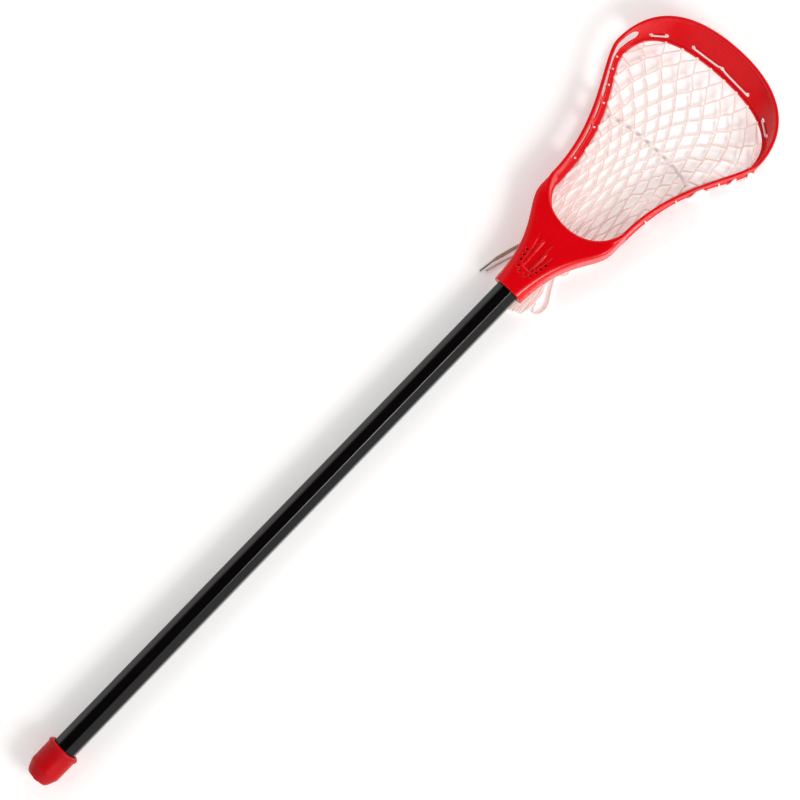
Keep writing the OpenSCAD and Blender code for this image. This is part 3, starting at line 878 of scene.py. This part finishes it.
CAP_R = (cap_high[0] - cap_low[0]) / 2
CAP_LIP = 1.0
CAP_SIDE = CAP_R - CAP_LIP
CAP_LEN = cap_high[1] - cap_low[1]
CAP_FLOOR = 6
CAP_GAP = 0.1
NUB_R, NUB_H = 3.5, 2.0
LIP_H = 4.5
CAP_SIDES = 128
CAP_DENT = 0.006
FLARE, FLARE_H = 0.7, 0.6


def fillets(points, radii, steps=5):
    """A profile line with each corner rounded by its own radius."""
    p = np.asarray(points, float)
    line = [p[0]]
    for i in range(1, len(p) - 1):
        a, b = unit(p[i - 1] - p[i]), unit(p[i + 1] - p[i])
        room = min(np.linalg.norm(p[i - 1] - p[i]), np.linalg.norm(p[i + 1] - p[i])) * 0.48
        reach = min(radii[i], room)
        for f in np.linspace(0, 1, steps + 1):
            start, end = p[i] + a * reach, p[i] + b * reach
            line.append((1 - f) ** 2 * start + 2 * f * (1 - f) * p[i] + f * f * end)
    line.append(p[-1])
    return np.array(line)


def make_cap():
    """A lathed rubber cap: nub, groove round it, tapered end, body, rolled lip and octagonal
    bore. The bore's flats face the tube's corners."""
    end_r = 0.66 * CAP_SIDE
    profile = [(0.05, 0.2), (NUB_R - 0.4, 0), (NUB_R, 0.5), (NUB_R, NUB_H + 1.8),
               (NUB_R + 2.0, NUB_H + 1.8), (NUB_R + 2.3, NUB_H - 0.4), (end_r, NUB_H),
               (end_r + 1.9, NUB_H + 2.6),
               (CAP_SIDE - 1.0, NUB_H + 8.4), (CAP_SIDE, NUB_H + 11), (CAP_SIDE, CAP_LEN - LIP_H),
               (CAP_R, CAP_LEN - LIP_H + 1.4), (CAP_R, CAP_LEN - 1.2), (CAP_R - 1.6, CAP_LEN)]
    radii = [0, 0.4, 0.4, 0.5, 0.5, 0.6, 0.8, 0.8, 1.8, 2, 1.0, 0.8, 1.4, 0]
    outer = fillets(profile, radii)
    a = 2 * math.pi * np.arange(CAP_SIDES) / CAP_SIDES
    facet = np.degrees(a) % 45 - 22.5
    bore_r = (SHAFT_AF / 2 + CAP_GAP) / np.cos(np.radians(facet))
    rings = []
    for r, y in outer:
        dent = 1 - CAP_DENT * np.cos(8 * a) * (r > NUB_R + 3) * (y < CAP_LEN - LIP_H)
        rings.append((r * dent, y))
    for y in (CAP_LEN, CAP_LEN - FLARE_H, CAP_LEN - 3, (CAP_LEN + CAP_FLOOR) / 2,
              CAP_FLOOR + 0.8, CAP_FLOOR):
        flare = FLARE * max(0, (y - CAP_LEN + FLARE_H) / FLARE_H)
        rings.append((bore_r + flare, y))
    rings.append((np.full(CAP_SIDES, 0.05), CAP_FLOOR))
    points = []
    for r, y in rings:
        r = np.broadcast_to(r, CAP_SIDES)
        level = np.full(CAP_SIDES, cap_low[1] + y)
        points.append(np.stack([r * np.cos(a), level, AXIS_Z + r * np.sin(a)], 1))
    piece = new_piece("rubber_cap", *skin(np.array(points)))
    bevel_shading(piece, 50)
    place(piece, "cap", RUBBER, "cap", "end_cap")


make_cap()

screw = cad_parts["head_screw"]
screw.data.materials.clear()
screw.data.materials.append(ZINC)


# ---- The net ----

def inner_edge(gap):
    """The bottom rail's inner edge on the right, from the throat to the scoop's middle."""
    parts = []
    for k, n in ((0, 30), (1, 60), (2, 60)):
        t = np.linspace(0, 1, n, endpoint=False)
        parts.append(on_rail(LOW_CURVE, k, t, low_width(k, t) + gap, 0))
    parts.append(on_rail(LOW_CURVE, 2, np.array([1.0]), BOTTOM_RAIL_T + gap, 0))
    return np.vstack(parts)


NET_GAP = 0.5
NET_EDGE_Z = 4.3
NET_LOW_Z = 3.0
NET_SAG = 2.6
SCOOP_ROW = 12.4
THROAT_ROW = 18.0
NET_COLUMNS = 9
# The net's half width under the throat, as [distance from the throat's end, half width]
TONGUE = [(34, 15), (46, 22), (59, 30), (69, 37), (78, 38), (90, 38), (101, 38.3)]

edge = inner_edge(NET_GAP)
wall = edge[(edge[:, 1] > Y_BASE + 104)]
corner_i = int(np.argmax(wall[:, 0] * 0.80 + wall[:, 1] * 0.60))
corner_y = wall[corner_i, 1]
side_y = np.concatenate([[Y_BASE + y for y, w in TONGUE], wall[:corner_i + 1, 1]])
side_x = np.concatenate([[w for y, w in TONGUE], wall[:corner_i + 1, 0]])
scoop_x, scoop_y = wall[corner_i:, 0][::-1], wall[corner_i:, 1][::-1]
scoop_mid = scoop_y[0]
corner_x = wall[corner_i, 0]


def row_heights():
    """Middle heights along the stick of the net's half rows, from the scoop to the throat."""
    ys = [scoop_mid]
    while ys[-1] > Y_BASE + 40:
        f = eased((scoop_mid - 104 - ys[-1]) / 45)
        ys.append(ys[-1] - mix(SCOOP_ROW, THROAT_ROW, f))
    return np.array(ys)


ROWS = row_heights()


def net_point(u, r):
    """Where the net is, at u from -1 to 1 across it and at half row r, as (x, y, z)."""
    u, r = np.asarray(u, float), np.asarray(r, float)
    middle = np.interp(r, np.arange(len(ROWS)), ROWS)
    fade = np.exp(-r / 10)
    drop = scoop_mid - np.interp(np.abs(u) * corner_x, scoop_x, scoop_y)
    y = middle - drop * fade
    at_side = middle - (scoop_mid - corner_y) * fade
    x = u * np.interp(at_side, side_y, side_x)
    return np.stack([x, y, net_height(x, y)], -1)


rail_ys = edge[np.argsort(edge[:, 1])]


def net_height(x, y):
    """The net rises from its sagging middle to the rails, and climbs to the scoop's back edge."""
    half = np.interp(y, rail_ys[:, 1], rail_ys[:, 0])
    rail_z = np.interp(y, edge[30:, 1], edge[30:, 2])
    climb = eased((y - Y_BASE - 101) / 30)
    share = np.clip(1 - (x / np.maximum(half, 8)) ** 2, 0, 1)
    pocket = rail_z + NET_EDGE_Z - NET_SAG * share
    return mix(NET_LOW_Z, pocket, climb)


YARN_PITCH = 3.2
PLY_R = 0.60
PLY_OUT = 0.66
NET_JITTER = (0.35, 0.7)
LINE_STEP = 0.8
# A joint's length in the scoop and near the throat
JOINT_SHORT, JOINT_LONG = 3.2, 8.0
# How far a strand passes from a joint's middle, inside the net and at its sides
APART, EDGE_APART = 0.95, 0.6


def twisted(line, ply_r=PLY_R, out=PLY_OUT, pitch=YARN_PITCH, step=0.8, sides=6, plies=2, phase=0.0,
            flat=0.75):
    """Plies twisted about a line, as a list of (verts, faces)."""
    line = through(line, step)
    side, over = frames(line)
    along = travelled(line)
    made = []
    for p in range(plies):
        a = 2 * math.pi * (along / pitch + p / plies) + phase
        ply = line + out * (np.cos(a)[:, None] * side + flat * np.sin(a)[:, None] * over)
        made.append(tube(ply, ply_r, ply_r, sides))
    return made


def make_net():
    """Strands that zigzag from the scoop to the throat and meet their neighbours at joints."""
    rng = np.random.default_rng(7)
    last = len(ROWS) - 1
    units = 2 * NET_COLUMNS
    shift_x = rng.normal(0, NET_JITTER[0], (last + 1, units + 1))
    shift_y = rng.normal(0, NET_JITTER[1], (last + 1, units + 1))
    parts, total = [], 0
    for s in range(units):
        points = []
        for r in range(last + 1):
            c = s if (r + s) % 2 == 0 else s + 1
            u = 2 * c / units - 1
            apart = APART if c == s else -APART
            p = net_point(u, r)
            inward = 0 if c in (0, units) or r == 0 else 1
            p = p + [shift_x[r, c] * inward, shift_y[r, c] * inward, 0]
            joint = mix(JOINT_SHORT, JOINT_LONG, eased((scoop_mid - 90 - p[1]) / 60))
            spread = apart * mix(1, 0.7, eased((p[1] - Y_CHANNEL) / 60))
            if c in (0, units):
                spread = EDGE_APART * np.sign(apart)
            for end in (joint / 2, -joint / 2):
                if r == 0 and end > 0:
                    end = 0.8
                q = p + [spread, end, 0]
                q[2] = net_height(q[0], q[1])
                points.append(q)
        total += line_length(through(points, LINE_STEP))
        parts += twisted(points, phase=rng.uniform(0, 6.28))
    verts, faces = merged(parts)
    net = new_piece("pocket_net", verts, faces)
    place(net, "stick", NET, "mesh", "pocket_mesh")


make_net()

# The spare net, folded double behind the throat: [distance across, distance along] of its edge
FOLD_EDGE = [(-14, 0), (-13, -9), (-6, -13), (6, -12.5), (14.5, -8), (22, -5), (24.6, 3),
             (24.4, 12)]
# Its outer strands on each side: [distance along, distance across]
FOLD_RIGHT = [(12, 24.4), (22, 23), (34, 19), (46, 15)]
FOLD_LEFT = [(-9, -13), (4, -15), (22, -14), (46, -12)]
FOLD_LAYERS = (4.0, 1.5)
FOLD_FROM, FOLD_TO, FOLD_PITCH = -13.5, 24, 2.05
FOLD_TOP, FOLD_STEP = 46.0, 7.0
FOLD_JITTER = (0.35, 0.12)
FOLD_PLY_R, FOLD_PLY_OUT = 0.56, 0.60


def make_fold():
    """Strands side by side, each running out on top, round the edge and back underneath."""
    rng = np.random.default_rng(11)
    ends = np.array(FOLD_EDGE, float)
    parts, total = [], 0
    for x in np.arange(FOLD_FROM, FOLD_TO, FOLD_PITCH):
        low = np.interp(x, ends[:, 0], ends[:, 1]) + 1.2
        tops = []
        for z, side in ((FOLD_LAYERS[0], 1), (FOLD_LAYERS[1], -1)):
            ys = np.arange(low, FOLD_TOP, FOLD_STEP)
            right = np.interp(ys, *np.array(FOLD_RIGHT).T) / FOLD_RIGHT[0][1]
            left = np.interp(ys, *np.array(FOLD_LEFT).T) / FOLD_LEFT[1][1]
            xs = x * np.where(x > 0, right, left) + rng.normal(0, FOLD_JITTER[0], len(ys))
            zs = z + rng.normal(0, FOLD_JITTER[1], len(ys))
            run = np.stack([xs, ys + Y_BASE, zs], 1)
            tops.append(run[::-1] if side > 0 else run)
        turn = np.array([[tops[0][-1][0], Y_BASE + low - 1.1, sum(FOLD_LAYERS) / 2]])
        line = np.vstack([tops[0], turn, tops[1]])
        total += line_length(through(line, LINE_STEP))
        parts += twisted(line, FOLD_PLY_R, FOLD_PLY_OUT, phase=rng.uniform(0, 6.28))
    verts, faces = merged(parts)
    fold = new_piece("folded_net", verts, faces)
    place(fold, "stick", NET, "mesh", "pocket_mesh")


make_fold()


# ---- Strings and lace ----

STRING_D = 1.9
STRING_R = STRING_D / 2


def cord_mesh(line, d=STRING_D, phase=0.0):
    """A laid string of three plies."""
    r = d * 0.27
    return twisted(line, r, d / 2 - r, d * 2.6, 0.5, 6, 3, phase, 1.0)


def hop(t0, t1, side):
    """From one scoop hole to the next along a face of the wall, square to it at the holes."""
    mouth, away = WEB_T / 2 + 0.6, WEB_T / 2 + STRING_R + 0.1
    places = [(t0, 0, mouth), (mix(t0, t1, 0.14), 0, away), (mix(t0, t1, 0.5), -0.02, away),
              (mix(t0, t1, 0.86), 0, away), (t1, 0, mouth)]
    return [wall_point(t, SCOOP_HOLE_F + up, side * out)[0][0] for t, up, out in places]


def make_top_string():
    holes = SCOOP_HOLES
    right = [wall_point(1, SCOOP_HOLE_F + 0.05, -WEB_T / 2 - STRING_R - 0.1)[0][0]]
    right += hop(holes[3], holes[2], -1)[1:]
    right += hop(holes[2], holes[1], 1) + hop(holes[1], holes[0], -1)
    right += [wall_point(holes[0], SCOOP_HOLE_F, WEB_T / 2 + out)[0][0] for out in (0.6, 2.6)]
    left = [p * [-1, 1, 1] for p in right[:0:-1]]
    parts = cord_mesh(np.array(left + right))
    for s in (-1, 1):
        parts.append(knot(right[-1] * [s, 1, 1], 2.0))
    place(new_piece("scoop_string", *merged(parts)), "stick", STRING, "string", "top_string")


def knot(centre, r):
    """An overhand knot, as a tight trefoil of string."""
    a = np.linspace(0, 2 * math.pi, 40)
    x = (np.sin(a) + 2 * np.sin(2 * a)) / 3
    y = (np.cos(a) - 2 * np.cos(2 * a)) / 3
    z = -np.sin(3 * a) / 2.4
    return tube(centre + r * np.stack([x, y, z], 1), r * 0.42, r * 0.42, 8)


def rail_wrap(t, shift, s, phase):
    """One turn of string: out through the web's hole, down outside the rail and under it."""
    def at(inside, z, share):
        p = on_rail(LOW_CURVE, 1, np.array([t + share * shift / SIDE_LEN]), inside, z)[0]
        return p * [s, 1, 1]
    r = STRING_R
    route = [at(WEB_IN + WEB_T + 0.4, SIDE_HOLE_Z, 0), at(WEB_IN + WEB_T / 2, SIDE_HOLE_Z, 0),
             at(-0.2, RAIL_H + 2.2, 0.35), at(-r - 0.15, RAIL_H - 1.5, 0.7), at(-r - 0.1, 1.0, 1),
             at(1.0, -r * 0.7, 1), at(BOTTOM_RAIL_T - 1, -r * 0.7, 1),
             at(BOTTOM_RAIL_T + r, 1.2, 1), at(BOTTOM_RAIL_T + r + 0.3, 2.2, 1)]
    return cord_mesh(np.array(route), STRING_D, phase)


# Turns of string at each hole of the sidewall, by how far along the rail each one lies
LEFT_TURNS = {hole: [0] for hole in SIDE_HOLES}
RIGHT_TURNS = {0.12: [0], 0.3: [0], 0.46: np.arange(-11, 7, 2.2), 0.6: [0],
               0.75: np.arange(-10, -1, 2.2), 0.9: np.arange(-2, 13, 2.2)}


def make_side_strings():
    for s, name, turns in ((-1, "left", LEFT_TURNS), (1, "right", RIGHT_TURNS)):
        t = np.linspace(0.06, 1.0, 30)
        line = on_rail(LOW_CURVE, 1, t, BOTTOM_RAIL_T + STRING_R + 0.3, 2.2) * [s, 1, 1]
        parts = cord_mesh(line)
        for hole, spreads in turns.items():
            for spread in spreads:
                parts += rail_wrap(hole, spread, s, spread + hole)
        verts, faces = merged(parts)
        # What lies below the ground's level is pressed to half its depth
        low = verts[:, 2] < 0
        verts[low, 2] *= 0.5
        piece = new_piece(f"side_string_{name}", verts, faces)
        place(piece, "stick", STRING, "string", f"sidewall_string_{name}")


def make_bottom_string():
    x = np.linspace(-28, 28, 15)
    z = NET_LOW_Z + 1.2 + STRING_R + 0.1
    line = np.stack([x, Y_BASE + 71 + x * x / 130, np.full(15, z)], 1)
    piece = new_piece("throat_string", *merged(cord_mesh(line)))
    place(piece, "stick", STRING, "string", "bottom_string")


LACE_ROW = 7.2
SHOW_W, SHOW_T = 3.6, 0.9
LACE_POINTS, LACE_WAVE, LACE_HALF = 81, 9, 0.93
# The lace rides this far above the net, and rises and dips by the second number
LACE_RISE, LACE_DIP = 1.3, 1.2


def make_shooting_lace():
    """A flat lace that passes over and under the net's strands."""
    u = np.linspace(-LACE_HALF, LACE_HALF, LACE_POINTS)
    line = net_point(u, np.full(LACE_POINTS, LACE_ROW))
    weave = np.sin(np.arange(LACE_POINTS) * 2 * math.pi / LACE_WAVE + 0.6)
    line[:, 2] += LACE_RISE + LACE_DIP * weave
    line = through(line, LINE_STEP)
    ridge = 1 + 0.05 * np.sin(np.arange(len(line)) * 2.2)
    piece = new_piece("flat_shooting_lace", *tube(line, SHOW_W / 2 * ridge, SHOW_T / 2, 14,
                                                  square=0.7))
    place(piece, "stick", LACE, "lace", "shooting_lace")


make_top_string()
make_side_strings()
make_bottom_string()
make_shooting_lace()


# ---- Floor and light ----

FLOOR_Z, FLOOR_HALF = -1.0, 8000


def make_floor():
    sides = ((-1, -1), (1, -1), (1, 1), (-1, 1))
    verts = [(x * FLOOR_HALF, y * FLOOR_HALF, FLOOR_Z) for x, y in sides]
    floor = new_piece("floor", verts, [(0, 1, 2, 3)])
    floor.data.materials.append(paper())


SKY_DIM, SKY_BRIGHT = 0.66, 1.08
SKY_SIDE = (0.6, 0.8, 0)


def softbox(name, direction, distance, size, power):
    """A square area light that faces the stick's middle."""
    data = bpy.data.lights.new(name, "AREA")
    data.shape, data.size, data.size_y = "RECTANGLE", size[0], size[1]
    data.energy = power
    lamp = bpy.data.objects.new(name, data)
    bpy.context.scene.collection.objects.link(lamp)
    d = Vector(direction).normalized()
    lamp.location = d * distance
    lamp.rotation_mode = "QUATERNION"
    lamp.rotation_quaternion = d.to_track_quat("Z", "Y")


def make_light():
    """A bright ring of sky with a dark zenith, brighter to the right and the scoop, and two
    lamps."""
    world = bpy.data.worlds.new("studio")
    world.use_nodes = True
    tree = world.node_tree
    direction = tree.nodes.new("ShaderNodeTexCoord").outputs["Generated"]
    apart = tree.nodes.new("ShaderNodeSeparateXYZ")
    ramp = tree.nodes.new("ShaderNodeValToRGB")
    level = tree.nodes.new("ShaderNodeMapRange")
    tree.links.new(direction, apart.inputs[0])
    tree.links.new(apart.outputs["Z"], ramp.inputs["Fac"])
    across = tree.nodes.new("ShaderNodeVectorMath")
    across.operation = "DOT_PRODUCT"
    across.inputs[1].default_value = SKY_SIDE
    tree.links.new(direction, across.inputs[0])
    tree.links.new(across.outputs["Value"], level.inputs["Value"])
    limits = {"From Min": -1, "From Max": 1, "To Min": SKY_DIM, "To Max": SKY_BRIGHT}
    for key, value in limits.items():
        level.inputs[key].default_value = value
    low, high = ramp.color_ramp.elements
    low.position, low.color = 0.80, (1.0, 0.99, 0.98, 1)
    high.position, high.color = 0.93, (0.012, 0.012, 0.012, 1)
    background = tree.nodes["Background"]
    tree.links.new(ramp.outputs["Color"], background.inputs["Color"])
    tree.links.new(level.outputs["Result"], background.inputs["Strength"])
    bpy.context.scene.world = world
    softbox("key", (1.0, 0.04, 0.85), 2.4, (0.8, 0.7), 28)
    softbox("fill", (-0.4, 1.0, 0.8), 2.6, (0.7, 0.7), 5)


make_floor()
make_light()
bpy.context.scene.view_settings.view_transform = "Standard"
